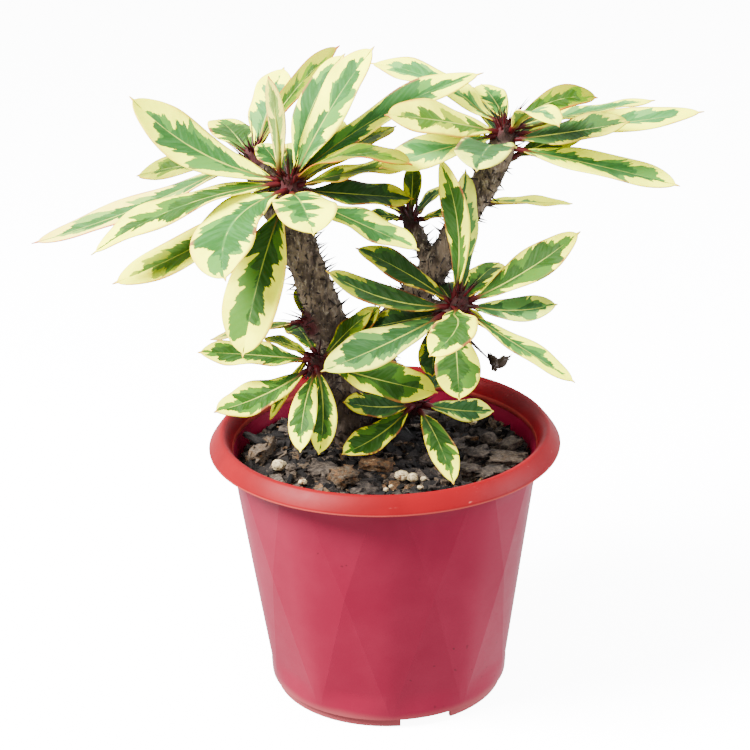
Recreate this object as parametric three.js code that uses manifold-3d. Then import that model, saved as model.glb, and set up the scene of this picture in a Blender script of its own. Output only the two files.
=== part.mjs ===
// Potted euphorbia: a variegated crown of thorns in a red 200 mm squat nursery pot.
// Millimetres, +Z up. The pot stands on Z = 0 and the origin is the bottom centre of the
// whole plant's bounding box, so the pot's own axis is a little to one side of it.
import * as THREE from 'three';
import { mergeVertices } from 'three/addons/utils/BufferGeometryUtils.js';
import Module from 'manifold-3d';

const wasm = await Module();
wasm.setup();

// ---------------------------------------------------------------- driving dimensions
const GAP = 0.3; // clearance between neighbouring pieces
const ROUND_SIDES = 48; // facets round the pot and the soil

const POT = {
  height: 157,
  crestRadius: 93, // top of the rolled rim
  rimRadius: 100, // lower, outer edge of the rim
  rimDepth: 9,
  wallTopRadius: 88.7,
  wallBottomRadius: 69,
  wall: 2,
  footRadius: 66.5,
  footHeight: 5.5, // the floor stands this far off the ground
  floor: 2.5,
  notches: 3, // open drainage slots in the foot
  notchWidth: 30,
  notchAngle: -72, // degrees, the slot at the front right
  drainHoles: 6,
  drainHoleRadius: 5,
  drainCircleRadius: 42,
};

const SOIL = { level: 138.5, dome: 2, stemDepth: 28 };

const STEM_SIDES = 10;
const SHOOT_TIP_RADIUS = 3.5;

// A leaf is a four-sided cage: left margin, midrib top, right margin, midrib underside.
const LEAF = {
  stations: [0, 0.05, 0.15, 0.3, 0.45, 0.6, 0.75, 0.88, 0.96, 1],
  widestAt: 0.62,
  taper: 1.1, // power of the outline towards the petiole
  petioleThickness: 2.4,
  tipThickness: 1.1,
  fold: 12, // degrees that each half lifts from the midrib
};

const COLOURS = {
  pot: 0xc2293c,
  soil: 0x4a423b,
  bark: 0x6a5a50,
  leaf: 0x7fa05c,
  limeLeaf: 0xb9c95a,
};
const LIME_LEAVES = ['left_leaf_8', 'back_left_leaf_4', 'right_leaf_5', 'low_left_leaf_6'];

const Z = new THREE.Vector3(0, 0, 1);
const radians = THREE.MathUtils.degToRad;

// ---------------------------------------------------------------- helpers
function finish(name, geometry, colour, roughness) {
  const material = new THREE.MeshStandardMaterial({ color: colour, roughness, metalness: 0 });
  const mesh = new THREE.Mesh(geometry, material);
  mesh.name = name;
  return mesh;
}

// Keep only positions and share the vertices, so that the skin is one closed mesh.
function weld(geometry) {
  geometry.deleteAttribute('normal');
  geometry.deleteAttribute('uv');
  return mergeVertices(geometry, 1e-4);
}

function solid(geometry) {
  const welded = weld(geometry);
  return new wasm.Manifold(new wasm.Mesh({
    numProp: 3,
    vertProperties: new Float32Array(welded.attributes.position.array),
    triVerts: new Uint32Array(welded.index.array),
  }));
}

function geometryOf(body) {
  const mesh = body.getMesh();
  const geometry = new THREE.BufferGeometry();
  geometry.setAttribute('position', new THREE.BufferAttribute(mesh.vertProperties, 3));
  geometry.setIndex(new THREE.BufferAttribute(mesh.triVerts, 1));
  geometry.computeVertexNormals();
  return geometry;
}

// A profile of [radius, height] pairs turned round the pot's axis.
function turned(profile) {
  const outline = profile.map(([radius, height]) => new THREE.Vector2(radius, height));
  return new THREE.LatheGeometry(outline, ROUND_SIDES).rotateX(Math.PI / 2);
}

function onCircle(radius, degrees, height) {
  const angle = radians(degrees);
  return new THREE.Vector3(radius * Math.cos(angle), radius * Math.sin(angle), height);
}

// ---------------------------------------------------------------- pot and soil
function potBody() {
  const floorTop = POT.footHeight + POT.floor;
  const lipUnder = POT.height - POT.rimDepth;
  let pot = solid(turned([
    [0, POT.footHeight],
    [POT.footRadius - POT.wall, POT.footHeight],
    [POT.footRadius - POT.wall, 0],
    [POT.footRadius, 0],
    [POT.footRadius + 0.6, POT.footHeight],
    [POT.wallBottomRadius, POT.footHeight + 1],
    [POT.wallTopRadius, lipUnder - 0.5],
    [POT.rimRadius - 0.8, lipUnder - 0.5],
    [POT.rimRadius, lipUnder + 0.5],
    [POT.crestRadius + 2.2, POT.height - 1],
    [POT.crestRadius, POT.height],
    [POT.crestRadius - 1.4, POT.height - 1],
    [POT.wallTopRadius, lipUnder],
    [POT.wallTopRadius - POT.wall, lipUnder - 5],
    [POT.wallBottomRadius - POT.wall, floorTop],
    [0, floorTop],
  ]));
  for (let slot = 0; slot < POT.notches; slot += 1) {
    const angle = POT.notchAngle + slot * 360 / POT.notches;
    const cutter = new THREE.BoxGeometry(12, POT.notchWidth, 2 * POT.footHeight - 1);
    cutter.rotateZ(radians(angle));
    const middle = onCircle(POT.footRadius, angle, 0);
    pot = pot.subtract(solid(cutter.translate(middle.x, middle.y, middle.z)));
  }
  for (let hole = 0; hole < POT.drainHoles; hole += 1) {
    const drill = new THREE.CylinderGeometry(POT.drainHoleRadius, POT.drainHoleRadius, 20, 12);
    drill.rotateX(Math.PI / 2);
    const middle = onCircle(POT.drainCircleRadius, hole * 360 / POT.drainHoles, floorTop);
    pot = pot.subtract(solid(drill.translate(middle.x, middle.y, middle.z)));
  }
  return pot;
}

// Radius of the pot's inner wall at a height, less the clearance.
function soilRadius(height) {
  const floorTop = POT.footHeight + POT.floor;
  const span = POT.height - POT.rimDepth - 5.5 - floorTop;
  const share = (height - floorTop) / span;
  const low = POT.wallBottomRadius - POT.wall;
  const high = POT.wallTopRadius - POT.wall;
  return low + (high - low) * share - GAP - 0.2;
}

function soilBody(buriedStems) {
  const bottom = POT.footHeight + POT.floor + GAP;
  const profile = [[0, bottom], [soilRadius(bottom), bottom], [soilRadius(SOIL.level), SOIL.level]];
  for (const share of [0.8, 0.5, 0]) {
    profile.push([soilRadius(SOIL.level) * share, SOIL.level + SOIL.dome * (1 - share ** 2)]);
  }
  return buriedStems.reduce((soil, stem) => soil.subtract(stem), solid(turned(profile)));
}

// ---------------------------------------------------------------- stems
// A round tube along a smooth curve. Each stop is [x, y, z, radius].
function tube(stops, steps, extraRadius = 0) {
  const path = new THREE.CatmullRomCurve3(stops.map(([x, y, z]) => new THREE.Vector3(x, y, z)));
  const frames = path.computeFrenetFrames(steps, false);
  const radii = stops.map((stop) => stop[3] + extraRadius);
  const geometry = new THREE.CylinderGeometry(1, 1, 1, STEM_SIDES, steps);
  const place = geometry.attributes.position;
  for (let i = 0; i < place.count; i += 1) {
    const step = Math.round((place.getY(i) + 0.5) * steps);
    const along = step / steps * (stops.length - 1);
    const stop = Math.min(Math.floor(along), stops.length - 2);
    const radius = THREE.MathUtils.lerp(radii[stop], radii[stop + 1], along - stop);
    const point = path.getPoint(step / steps);
    point.addScaledVector(frames.normals[step], radius * place.getX(i));
    point.addScaledVector(frames.binormals[step], -radius * place.getZ(i));
    place.setXYZ(i, point.x, point.y, point.z);
  }
  return solid(geometry);
}

// A crown is the tip of a shoot: its top point, its axis, and the leaves spread round it.
// Each leaf is [drop down the shoot, azimuth, rise, length, width, arch, roll, sway].
// Azimuth 0 points along +X. Arch and sway are the upward and leftward bows, in percent of
// the length. Roll turns the blade about its own line.
const CROWNS = {
  left: {
    top: [-50, -8, 309],
    axis: [-0.1, -0.1, 1],
    leaves: [
      [3, 173, 30, 91, 34, -9, -25, 0],
      [5, 194, -16, 107, 28, 7, -10, 0],
      [12, 188, -26, 100, 29, -4, -22, 0],
      [8, 242, -27, 69, 38, 8, 0, -18],
      [16, 240, -58, 85, 37, 5, 0, 0],
      [0, 132, 38, 22, 20, 6, 0, 0],
      [9, 284, -8, 52, 35, 10, 0, 0],
      [2, 332, 13, 73, 24, 13, 5, 0],
      [6, 356, 10, 67, 24, 3, 5, 0],
      [10, 12, -9, 62, 24, 0, 20, 0],
      [13, 336, -18, 70, 28, 0, 5, 0],
      [1, 0, 58, 83, 27, 3, 40, 0],
      [3, 28, 64, 72, 21, 6, 20, 6],
      [2, 11, 26, 116, 26, 6, 15, 0],
      [0, 185, 86, 55, 11, 3, 60, 0],
      [6, 37, 16, 71, 24, 3, 0, 0],
    ],
  },
  back_left: {
    top: [-71, 20, 316],
    axis: [-0.35, 0.15, 1],
    leaves: [
      [6, 191, -18, 124, 26, -3, -10, 0],
      [8, 159, -12, 68, 28, 3, -15, 0],
      [2, 57, 54, 50, 26, 3, 0, 0],
      [0, 4, 50, 73, 22, 5, 20, 0],
    ],
  },
  right: {
    top: [70, 2, 333],
    axis: [0.25, 0, 1],
    leaves: [
      [2, 146, 16, 87, 24, 8, -10, 0],
      [5, 202, 15, 67, 26, 2, -35, 0],
      [7, 204, -7, 69, 26, 1, -20, 0],
      [0, 110, 20, 36, 18, 5, 0, 0],
      [1, 0, 17, 46, 20, 12, 25, 0],
      [3, 298, 15, 48, 20, 18, 0, 0],
      [7, 0, 6, 101, 26, -1, 12, 0],
      [4, 21, 4, 85, 18, 1, 0, 0],
      [9, 335, 14, 65, 24, -1, 25, 0],
      [15, 342, -9, 90, 27, 1, 15, 0],
      [13, 253, 2, 49, 34, 14, 0, 0],
    ],
  },
  right_stem: {
    top: [55, 11, 296],
    axis: [0.45, -0.2, 1],
    leaves: [
      [13, 21, -9, 55, 20, 0, 0, 0],
    ],
  },
  middle: {
    top: [44, -24, 244],
    axis: [0.35, -0.3, 1],
    leaves: [
      [1, 160, 84, 78, 16, 8, 80, 0],
      [3, 81, 73, 69, 20, 4, 50, 0],
      [4, 3, 32, 70, 26, -4, 25, 0],
      [8, 358, 1, 47, 22, -7, 20, 0],
      [13, 336, -27, 68, 20, 0, 5, 0],
      [7, 249, -15, 45, 26, 6, 0, 18],
      [17, 273, -53, 43, 26, 4, 0, 0],
      [5, 166, 28, 59, 22, 3, -15, 0],
      [8, 186, 21, 69, 26, -8, -15, 0],
      [13, 208, -13, 76, 28, -2, -20, 0],
      [14, 173, -13, 42, 20, 0, -20, 0],
      [19, 190, -86, 32, 18, 0, -80, 0],
    ],
  },
  low_left: {
    top: [-37, -18, 207],
    axis: [-0.1, -0.5, 1],
    leaves: [
      [2, 181, 6, 61, 22, 1, -20, 0],
      [10, 206, -13, 57, 24, -5, -20, 0],
      [9, 259, -34, 52, 16, 6, 0, -3],
      [7, 270, -49, 49, 16, 4, 0, 6],
      [6, 345, -10, 63, 28, -2, 25, 0],
      [1, 8, 43, 38, 16, 4, 20, 0],
      [4, 10, 44, 43, 18, 2, 20, 0],
    ],
  },
  low_right: {
    top: [20, 12, 168],
    axis: [0.1, -0.1, 1],
    leaves: [
      [3, 199, 12, 41, 20, -5, -25, 0],
      [5, 210, -21, 48, 22, -7, -15, 0],
      [6, 286, -18, 62, 17, 8, 0, 0],
      [4, 359, -6, 38, 19, -4, 20, 0],
    ],
  },
  side: {
    top: [-44, 4, 221],
    axis: [-0.4, -0.2, 1],
    leaves: [
      [2, 170, -14, 52, 14, 1, -5, 0],
    ],
  },
};

function crownAxis(crown) {
  return new THREE.Vector3(...crown.axis).normalize();
}

// The last stops of a shoot, which tapers up to its crown.
function shootTip(crown) {
  const top = new THREE.Vector3(...crown.top);
  const low = top.clone().addScaledVector(crownAxis(crown), -14);
  return [[...low.toArray(), 8], [...top.toArray(), SHOOT_TIP_RADIUS]];
}

const LEFT_STEM = [
  [-17, 26, SOIL.level - SOIL.stemDepth, 11],
  [-19, 25, 138, 11.5],
  [-22, 18, 166, 11],
  [-29, 6, 214, 11],
  [-42, -2, 258, 10],
  ...shootTip(CROWNS.left),
];
const RIGHT_STEM = [
  [2, 43, SOIL.level - SOIL.stemDepth, 9],
  [1, 42, 138, 9.5],
  [-3, 38, 170, 9],
  [3, 30, 206, 9],
  [17, 26, 225, 8.5],
  [32, 22, 246, 8.5],
  [47, 14, 277, 8],
  [59, 8, 299, 8],
  ...shootTip(CROWNS.right),
];

function leftStemBody(extraRadius = 0) {
  const back = tube([[-39, 0, 249, 6], [-54, 10, 275, 7], ...shootTip(CROWNS.back_left)], 6);
  const low = tube([[-24, 17, 171, 6], [-31, 2, 186, 7], ...shootTip(CROWNS.low_left)], 6);
  const side = tube([[-30, 7, 208, 5], [-38, 5, 213, 5], [...CROWNS.side.top, 3]], 4);
  return tube(LEFT_STEM, 20, extraRadius).add(back).add(low).add(side);
}

function rightStemBody(extraRadius = 0) {
  const middle = tube([[6, 30, 210, 6], [24, 8, 224, 7], ...shootTip(CROWNS.middle)], 7);
  const low = tube([[2, 40, 140, 5], [12, 25, 153, 6], [...CROWNS.low_right.top, 3.5]], 5);
  const young = tube([[28, 24, 247, 5], [19, 32, 263, 5], [14, 34, 276, 3]], 4);
  return tube(RIGHT_STEM, 24, extraRadius).add(middle).add(low).add(young);
}

// ---------------------------------------------------------------- leaves
function leafHalfWidth(wide, t) {
  const tipPower = LEAF.taper * (1 - LEAF.widestAt) / LEAF.widestAt;
  const towardsPetiole = (t / LEAF.widestAt) ** LEAF.taper;
  const towardsTip = ((1 - t) / (1 - LEAF.widestAt)) ** tipPower;
  return wide / 2 * towardsPetiole * towardsTip;
}

// One leaf: a sphere's four meridians laid out as margins and midrib along a bowed line.
function leafGeometry(base, [, azimuth, rise, long, wide, arch, roll, sway]) {
  const heading = onCircle(1, azimuth, 0);
  const along = heading.clone().multiplyScalar(Math.cos(radians(rise)));
  along.addScaledVector(Z, Math.sin(radians(rise)));
  const above = heading.clone().multiplyScalar(-Math.sin(radians(rise)));
  above.addScaledVector(Z, Math.cos(radians(rise)));
  const level = above.clone().cross(along);
  const bow = above.clone().multiplyScalar(4 * arch / 100 * long);
  bow.addScaledVector(level, 4 * sway / 100 * long);
  const last = LEAF.stations.length - 1;
  const geometry = new THREE.SphereGeometry(1, 4, last);
  const place = geometry.attributes.position;
  const fold = radians(LEAF.fold);
  for (let i = 0; i < place.count; i += 1) {
    const station = Math.round(Math.acos(THREE.MathUtils.clamp(place.getY(i), -1, 1)) / Math.PI * last);
    const t = LEAF.stations[station];
    const centre = base.clone().addScaledVector(along, long * t).addScaledVector(bow, t * (1 - t));
    const tangent = along.clone().multiplyScalar(long).addScaledVector(bow, 1 - 2 * t).normalize();
    const across = level.clone().addScaledVector(tangent, -level.dot(tangent)).normalize();
    across.applyAxisAngle(tangent, radians(roll));
    const lift = tangent.clone().cross(across);
    const side = Math.sign(Math.round(place.getX(i) * 1e3));
    const face = Math.sign(Math.round(place.getZ(i) * 1e3));
    const half = leafHalfWidth(wide, t);
    const thick = THREE.MathUtils.lerp(LEAF.petioleThickness, LEAF.tipThickness, Math.min(1, t * 3)) / 2;
    if (station > 0 && station < last) {
      centre.addScaledVector(across, side * half * Math.cos(fold));
      centre.addScaledVector(lift, Math.abs(side) * half * Math.sin(fold) + face * thick);
    }
    place.setXYZ(i, centre.x, centre.y, centre.z);
  }
  return weld(geometry);
}

// A leaf springs from the shoot's skin, on the side that it points to.
function leafBase(crown, [drop, azimuth]) {
  const reach = Math.min(SHOOT_TIP_RADIUS + 0.4 * drop, 8.5) + 0.5;
  const spot = new THREE.Vector3(...crown.top).addScaledVector(crownAxis(crown), -drop);
  return spot.addScaledVector(onCircle(1, azimuth, 0), reach);
}

// ---------------------------------------------------------------- assembly
const leftStem = leftStemBody();
const rightStem = rightStemBody();
const plant = new THREE.Group();
plant.add(finish('pot', geometryOf(potBody()), COLOURS.pot, 0.35));
plant.add(finish(
  'potting_mix',
  geometryOf(soilBody([leftStemBody(GAP), rightStemBody(GAP)])),
  COLOURS.soil,
  0.95,
));
plant.add(finish('left_stem', geometryOf(leftStem), COLOURS.bark, 0.9));
plant.add(finish('right_stem', geometryOf(rightStem), COLOURS.bark, 0.9));
for (const [name, crown] of Object.entries(CROWNS)) {
  crown.leaves.forEach((leaf, index) => {
    const node = `${name}_leaf_${index + 1}`;
    const colour = LIME_LEAVES.includes(node) ? COLOURS.limeLeaf : COLOURS.leaf;
    plant.add(finish(node, leafGeometry(leafBase(crown, leaf), leaf), colour, 0.5));
  });
}

// Stand the bounding box's bottom centre on the origin.
const box = new THREE.Box3().setFromObject(plant);
const middle = box.getCenter(new THREE.Vector3());
plant.position.set(-middle.x, -middle.y, 0);
const root = new THREE.Group();
root.add(plant);

export default root;
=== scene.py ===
"""Potted euphorbia: a variegated crown of thorns in a red nursery pot.

Pieces are shaped in millimetres in the pot's own frame: the origin is on the ground under the
pot's axis, +X to the right, +Y to the back and +Z up. finished() takes them to the row's frame.
"""
import math
import random
import bmesh
import bpy
from bpy.props import FloatProperty, FloatVectorProperty, IntProperty, PointerProperty
from mathutils import Matrix, Vector, noise
from mathutils.kdtree import KDTree


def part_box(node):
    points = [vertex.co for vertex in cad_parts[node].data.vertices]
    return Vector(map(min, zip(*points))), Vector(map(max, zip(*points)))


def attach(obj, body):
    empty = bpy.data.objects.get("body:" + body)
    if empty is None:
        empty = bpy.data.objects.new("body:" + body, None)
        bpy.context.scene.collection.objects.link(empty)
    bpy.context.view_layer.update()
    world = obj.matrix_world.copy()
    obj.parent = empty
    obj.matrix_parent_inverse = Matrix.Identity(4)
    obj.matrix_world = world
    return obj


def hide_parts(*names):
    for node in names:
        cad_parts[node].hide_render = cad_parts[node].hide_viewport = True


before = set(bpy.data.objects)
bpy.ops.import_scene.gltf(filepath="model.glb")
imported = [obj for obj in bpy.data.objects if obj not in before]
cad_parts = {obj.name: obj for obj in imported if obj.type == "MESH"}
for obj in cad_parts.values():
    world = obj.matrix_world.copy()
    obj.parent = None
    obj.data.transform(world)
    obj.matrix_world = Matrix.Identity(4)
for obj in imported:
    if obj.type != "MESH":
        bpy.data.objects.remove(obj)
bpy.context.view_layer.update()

bl_info = {
    "name": "Potted euphorbia",
    "version": (1, 0, 0),
    "blender": (4, 5, 0),
    "location": "View3D > Sidebar > Euphorbia",
    "description": "Builds a variegated crown of thorns in its nursery pot",
    "category": "Object",
}

MM = 0.001
POT_LOW, POT_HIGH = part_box("pot")
MIX_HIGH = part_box("potting_mix")[1]
POT_AXIS = Vector(((POT_LOW.x + POT_HIGH.x) / 2, (POT_LOW.y + POT_HIGH.y) / 2, 0))
MIX_LEVEL = MIX_HIGH.z / MM
MIX_RADIUS = (MIX_HIGH.x - POT_AXIS.x) / MM
CAD_STEMS = ("left_stem", "right_stem")


# ------------------------------------------------------------------ settings
def colour(name, default, description):
    return FloatVectorProperty(
        name=name, description=description, default=default, size=3, subtype="COLOR",
        min=0, max=1,
    )


class PotSettings(bpy.types.PropertyGroup):
    facets: IntProperty(
        name="Facets", description="Facets round the wall", default=10, min=6, max=24,
    )
    facet_turn: FloatProperty(
        name="Facet turn", description="Angle of the first facet from the front",
        default=math.radians(0.5), subtype="ANGLE",
    )
    puff: FloatProperty(
        name="Puff", description="How far a facet swells from flat, 0, to round, 1",
        default=0.2, min=0, max=1, subtype="FACTOR",
    )
    wall_colour: colour("Wall", (0.148, 0.003, 0.018), "Colour of the faceted wall")
    rim_colour: colour("Rim", (0.140, 0.0006, 0.003), "Colour of the rolled rim")


class MixSettings(bpy.types.PropertyGroup):
    chips: IntProperty(
        name="Chips", description="Bark chips on the surface", default=3300, min=10, max=5000,
    )
    chip_length: FloatProperty(
        name="Chip length", description="Length of a middling chip", default=5.8, min=1, max=30,
    )
    dark_colour: colour("Dark chips", (0.010, 0.0075, 0.006), "Colour of the damp chips")
    pale_colour: colour("Pale chips", (0.120, 0.092, 0.068), "Colour of the weathered chips")


class StemSettings(bpy.types.PropertyGroup):
    thorn_length: FloatProperty(
        name="Thorn length", description="Length of a thorn on old wood", default=7.6, min=1,
        max=20,
    )
    thorn_spacing: FloatProperty(
        name="Thorn spacing", description="Least distance between thorns", default=5.4, min=2,
        max=20,
    )
    bark_colour: colour("Bark", (0.050, 0.034, 0.024), "Colour of the bark")
    shoot_colour: colour("Shoot tips", (0.035, 0.005, 0.006), "Colour of the young growth")


class LeafSettings(bpy.types.PropertyGroup):
    thickness: FloatProperty(
        name="Thickness", description="Thickness of a blade", default=0.6, min=0.2, max=2,
    )
    waviness: FloatProperty(
        name="Waviness", description="Height of the margin's waves over the blade's width",
        default=0.05, min=0, max=0.2, subtype="FACTOR",
    )
    fold: FloatProperty(
        name="Fold", description="Angle that each half lifts from the midrib",
        default=math.radians(12), subtype="ANGLE",
    )


class StageSettings(bpy.types.PropertyGroup):
    key_power: FloatProperty(
        name="Key light", description="Power of the main softbox", default=225, min=0,
        unit="POWER",
    )
    side_power: FloatProperty(
        name="Side light", description="Power of the cool light from the right", default=45, min=0,
        unit="POWER",
    )
    fill_power: FloatProperty(
        name="Fill light", description="Power of the front fill", default=5, min=0, unit="POWER",
    )
    sky: FloatProperty(
        name="Sky", description="Strength of the white surroundings", default=1.9, min=0,
    )
    floor_glow: FloatProperty(
        name="Floor glow", description="Light of its own that keeps the floor white", default=10,
        min=0,
    )
    floor_colour: colour("Floor", (0.93, 0.93, 0.95), "Colour of the floor")


# ------------------------------------------------------------------ material nodes
def new_material(name, roughness, **fixed):
    """A Principled material and its tree; fixed holds socket values such as coat_weight."""
    material = bpy.data.materials.new(name)
    material.use_nodes = True
    shader = material.node_tree.nodes["Principled BSDF"]
    shader.inputs["Roughness"].default_value = roughness
    for socket, value in fixed.items():
        shader.inputs[socket.replace("_", " ").title().replace("Ior", "IOR")].default_value = value
    return material, material.node_tree, shader


def add_node(tree, kind, inputs, **options):
    made = tree.nodes.new(kind)
    for option, value in options.items():
        setattr(made, option, value)
    for socket, value in inputs.items():
        if isinstance(value, bpy.types.NodeSocket):
            tree.links.new(value, made.inputs[socket])
        else:
            made.inputs[socket].default_value = value
    return made


def compute(tree, operation, *values):
    inputs = dict(enumerate(values))
    return add_node(tree, "ShaderNodeMath", inputs, operation=operation).outputs[0]


def times(tree, first, second):
    return compute(tree, "MULTIPLY", first, second)


def plus(tree, first, second):
    return compute(tree, "ADD", first, second)


def step(tree, value, low, high):
    """0 below low and 1 above high, with a smooth rise between."""
    inputs = {"Value": value, "From Min": low, "From Max": high}
    made = add_node(tree, "ShaderNodeMapRange", inputs, interpolation_type="SMOOTHSTEP")
    return made.outputs["Result"]


def blend(tree, factor, first, second, blend_type="MIX"):
    inputs = {"Factor": factor, 6: first, 7: second}
    made = add_node(tree, "ShaderNodeMix", inputs, data_type="RGBA", blend_type=blend_type)
    return made.outputs[2]


def grain(tree, vector, scale, detail=3.0, roughness=0.55):
    inputs = {"Vector": vector, "Scale": scale, "Detail": detail, "Roughness": roughness}
    return add_node(tree, "ShaderNodeTexNoise", inputs).outputs["Fac"]


def object_place(tree, stretch=(1, 1, 1)):
    place = add_node(tree, "ShaderNodeTexCoord", {}).outputs["Object"]
    if tuple(stretch) == (1, 1, 1):
        return place
    return add_node(tree, "ShaderNodeMapping", {"Vector": place, "Scale": stretch}).outputs[0]


def bump(tree, shader, height, distance, strength=1.0):
    inputs = {"Height": height, "Distance": distance, "Strength": strength}
    tree.links.new(add_node(tree, "ShaderNodeBump", inputs).outputs[0], shader.inputs["Normal"])


def vary_roughness(tree, shader, value, low, high):
    inputs = {"Value": value, "To Min": low, "To Max": high}
    made = add_node(tree, "ShaderNodeMapRange", inputs)
    tree.links.new(made.outputs["Result"], shader.inputs["Roughness"])


def paint(tree, shader, tone):
    tree.links.new(tone, shader.inputs["Base Color"])


def attribute(tree, name):
    return add_node(tree, "ShaderNodeAttribute", {}, attribute_name=name).outputs["Fac"]


def height_of(tree, place):
    return add_node(tree, "ShaderNodeSeparateXYZ", {"Vector": place}).outputs["Z"]


def rgb(values, gain=1.0, lift=0.0):
    """A colour with its alpha, made lighter or darker."""
    return (*(c * gain + lift for c in values), 1.0)


def shade(hexadecimal, gain=1.0, lift=0.0):
    """The same from an sRGB value such as 0xf0e8b0."""
    channels = [(hexadecimal >> shift & 255) / 255 for shift in (16, 8, 0)]
    linear = [c / 12.92 if c <= 0.04045 else ((c + 0.055) / 1.055) ** 2.4 for c in channels]
    return rgb(linear, gain, lift)


# ------------------------------------------------------------------ mesh helpers
def marked_mesh(layer):
    """An empty mesh and its layer of marks, which a material reads as an attribute."""
    bm = bmesh.new()
    return bm, bm.verts.layers.float.new(layer)


def smooth_faces(bm):
    for face in bm.faces:
        face.smooth = True


def finished(name, bm, materials, smooth=False, outward=True, settle=True):
    """Makes the piece, from millimetres in the pot's frame to metres in the row's frame."""
    if outward:
        bmesh.ops.recalc_face_normals(bm, faces=bm.faces)
        if bm.calc_volume(signed=True) < 0:
            bmesh.ops.reverse_faces(bm, faces=bm.faces)
    if smooth:
        smooth_faces(bm)
    if settle:
        bmesh.ops.scale(bm, vec=(MM, MM, MM), verts=bm.verts)
        bmesh.ops.translate(bm, vec=POT_AXIS, verts=bm.verts)
    mesh = bpy.data.meshes.new(name)
    bm.to_mesh(mesh)
    bm.free()
    piece = bpy.data.objects.new(name, mesh)
    bpy.context.scene.collection.objects.link(piece)
    for material in materials:
        mesh.materials.append(material)
    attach(piece, "root")
    return piece


def applied(piece):
    """Bakes the modifiers of a piece into its mesh."""
    graph = bpy.context.evaluated_depsgraph_get()
    mesh = bpy.data.meshes.new_from_object(piece.evaluated_get(graph))
    piece.modifiers.clear()
    old = piece.data
    piece.data = mesh
    mesh.name = old.name
    bpy.data.meshes.remove(old)
    return piece


def spun(bm, outline, start=0.0, sweep=math.tau, steps=180):
    """A closed outline of (radius, height) points, spun round the pot's axis."""
    verts = [bm.verts.new((r, 0, z)) for r, z in outline]
    bmesh.ops.rotate(bm, cent=(0, 0, 0), matrix=Matrix.Rotation(start, 3, "Z"), verts=verts)
    whole = sweep >= math.tau
    edges = [bm.edges.new(pair) for pair in zip(verts, verts[1:] + verts[:1])]
    geometry = verts + edges + ([] if whole else [bm.faces.new(verts)])
    bmesh.ops.spin(
        bm, geom=geometry, cent=(0, 0, 0), axis=(0, 0, 1), angle=sweep, steps=steps,
        use_merge=whole,
    )


def soften(bm, verts, times_over):
    for _ in range(times_over):
        bmesh.ops.smooth_vert(
            bm, verts=verts, factor=0.5, use_axis_x=True, use_axis_y=True, use_axis_z=True,
        )


# ------------------------------------------------------------------ pot
WALL_FOOT = (69.0, 5.5)  # radius and height of the wall's lower edge
WALL_TOP = (88.7, 148.0)
WALL_MIDDLE = 86.6  # height where the facets cross
TOP_HALF_ANGLE = math.radians(4.5)  # half of a facet's narrow top edge
FOOT = (64.5, 66.5, 5.7)  # inner radius, outer radius and height of the foot ring
NOTCH_ANGLES = (-72, 48, 168)  # degrees
NOTCH_WIDTH = 30.0
WALL_THICKNESS = 1.6
WALL_CUTS = 13  # cuts along each edge of a facet's triangles
WALL_PASSES = 40  # smoothing passes that even out those cuts
ROUND_EDGE = (14, 9)  # the wall turns from faceted to round this far from its edges, over this
DRAIN_CIRCLE, DRAIN_RADIUS, DRAINS = 42.0, 5.0, 6


def wall_radius(z):
    (low_r, low_z), (high_r, high_z) = WALL_FOOT, WALL_TOP
    return low_r + (high_r - low_r) * (z - low_z) / (high_z - low_z)


def faceted_wall(pot):
    """The wall's facets as flat faces, cut finely and swollen a little towards round."""
    bm = bmesh.new()
    low, high = WALL_FOOT[1], WALL_TOP[1] + 1.5
    turn = math.tau / pot.facets

    def corner(angle, z):
        r = wall_radius(z)
        return bm.verts.new((r * math.sin(angle), -r * math.cos(angle), z))

    starts = [pot.facet_turn + k * turn for k in range(pot.facets)]
    foot = [corner(a, low) for a in starts]
    middle = [corner(a + turn / 2, WALL_MIDDLE) for a in starts]
    left = [corner(a - TOP_HALF_ANGLE, high) for a in starts]
    right = [corner(a + TOP_HALF_ANGLE, high) for a in starts]
    for k in range(pot.facets):
        after = (k + 1) % pot.facets
        bm.faces.new((foot[k], middle[k], right[k], left[k], middle[k - 1]))
        bm.faces.new((middle[k], left[after], right[k]))
        bm.faces.new((middle[k], foot[k], foot[after]))
    for edge in bm.edges:
        edge.smooth = False
    bmesh.ops.triangulate(bm, faces=bm.faces)
    bmesh.ops.subdivide_edges(bm, edges=bm.edges, cuts=WALL_CUTS, use_grid_fill=True)
    soften(bm, [v for v in bm.verts if all(e.smooth for e in v.link_edges)], WALL_PASSES)
    reach, band = ROUND_EDGE
    for vert in bm.verts:
        flat = math.hypot(vert.co.x, vert.co.y)
        edge_distance = min(vert.co.z - low, high - vert.co.z)
        near_edge = max(0.0, min(1.0, (reach - edge_distance) / band)) ** 2
        puff = pot.puff + (1 - pot.puff) * near_edge
        scale = 1 + puff * (wall_radius(vert.co.z) / flat - 1)
        vert.co.x *= scale
        vert.co.y *= scale
    return bm


RIM_OUTLINE = (
    (86.2, 145.6), (86.8, 148.5), (88.6, 153.2), (90.4, 155.9), (91.9, 156.9), (93.1, 157.0),
    (94.3, 156.2), (97.2, 152.6), (99.4, 149.4), (100.0, 148.2), (99.9, 147.6), (99.2, 147.4),
    (98.3, 148.2), (95.8, 151.4), (92.4, 153.0), (90.0, 152.0), (88.4, 149.5), (87.6, 145.6),
)
RIM_LIP_HIGHLIGHT = (0.1489, 0.1479)  # metres over the ground where the painted highlight on the rim's lower lip starts and is full
DUST = (0.0085, 0.0145)  # the same for the dust round the foot
BASE_OUTLINE = ((0.0, 5.5), (67.8, 5.5), (68.3, 6.2), (66.6, 7.4), (64.5, 8.0), (0.0, 8.0))


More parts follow.
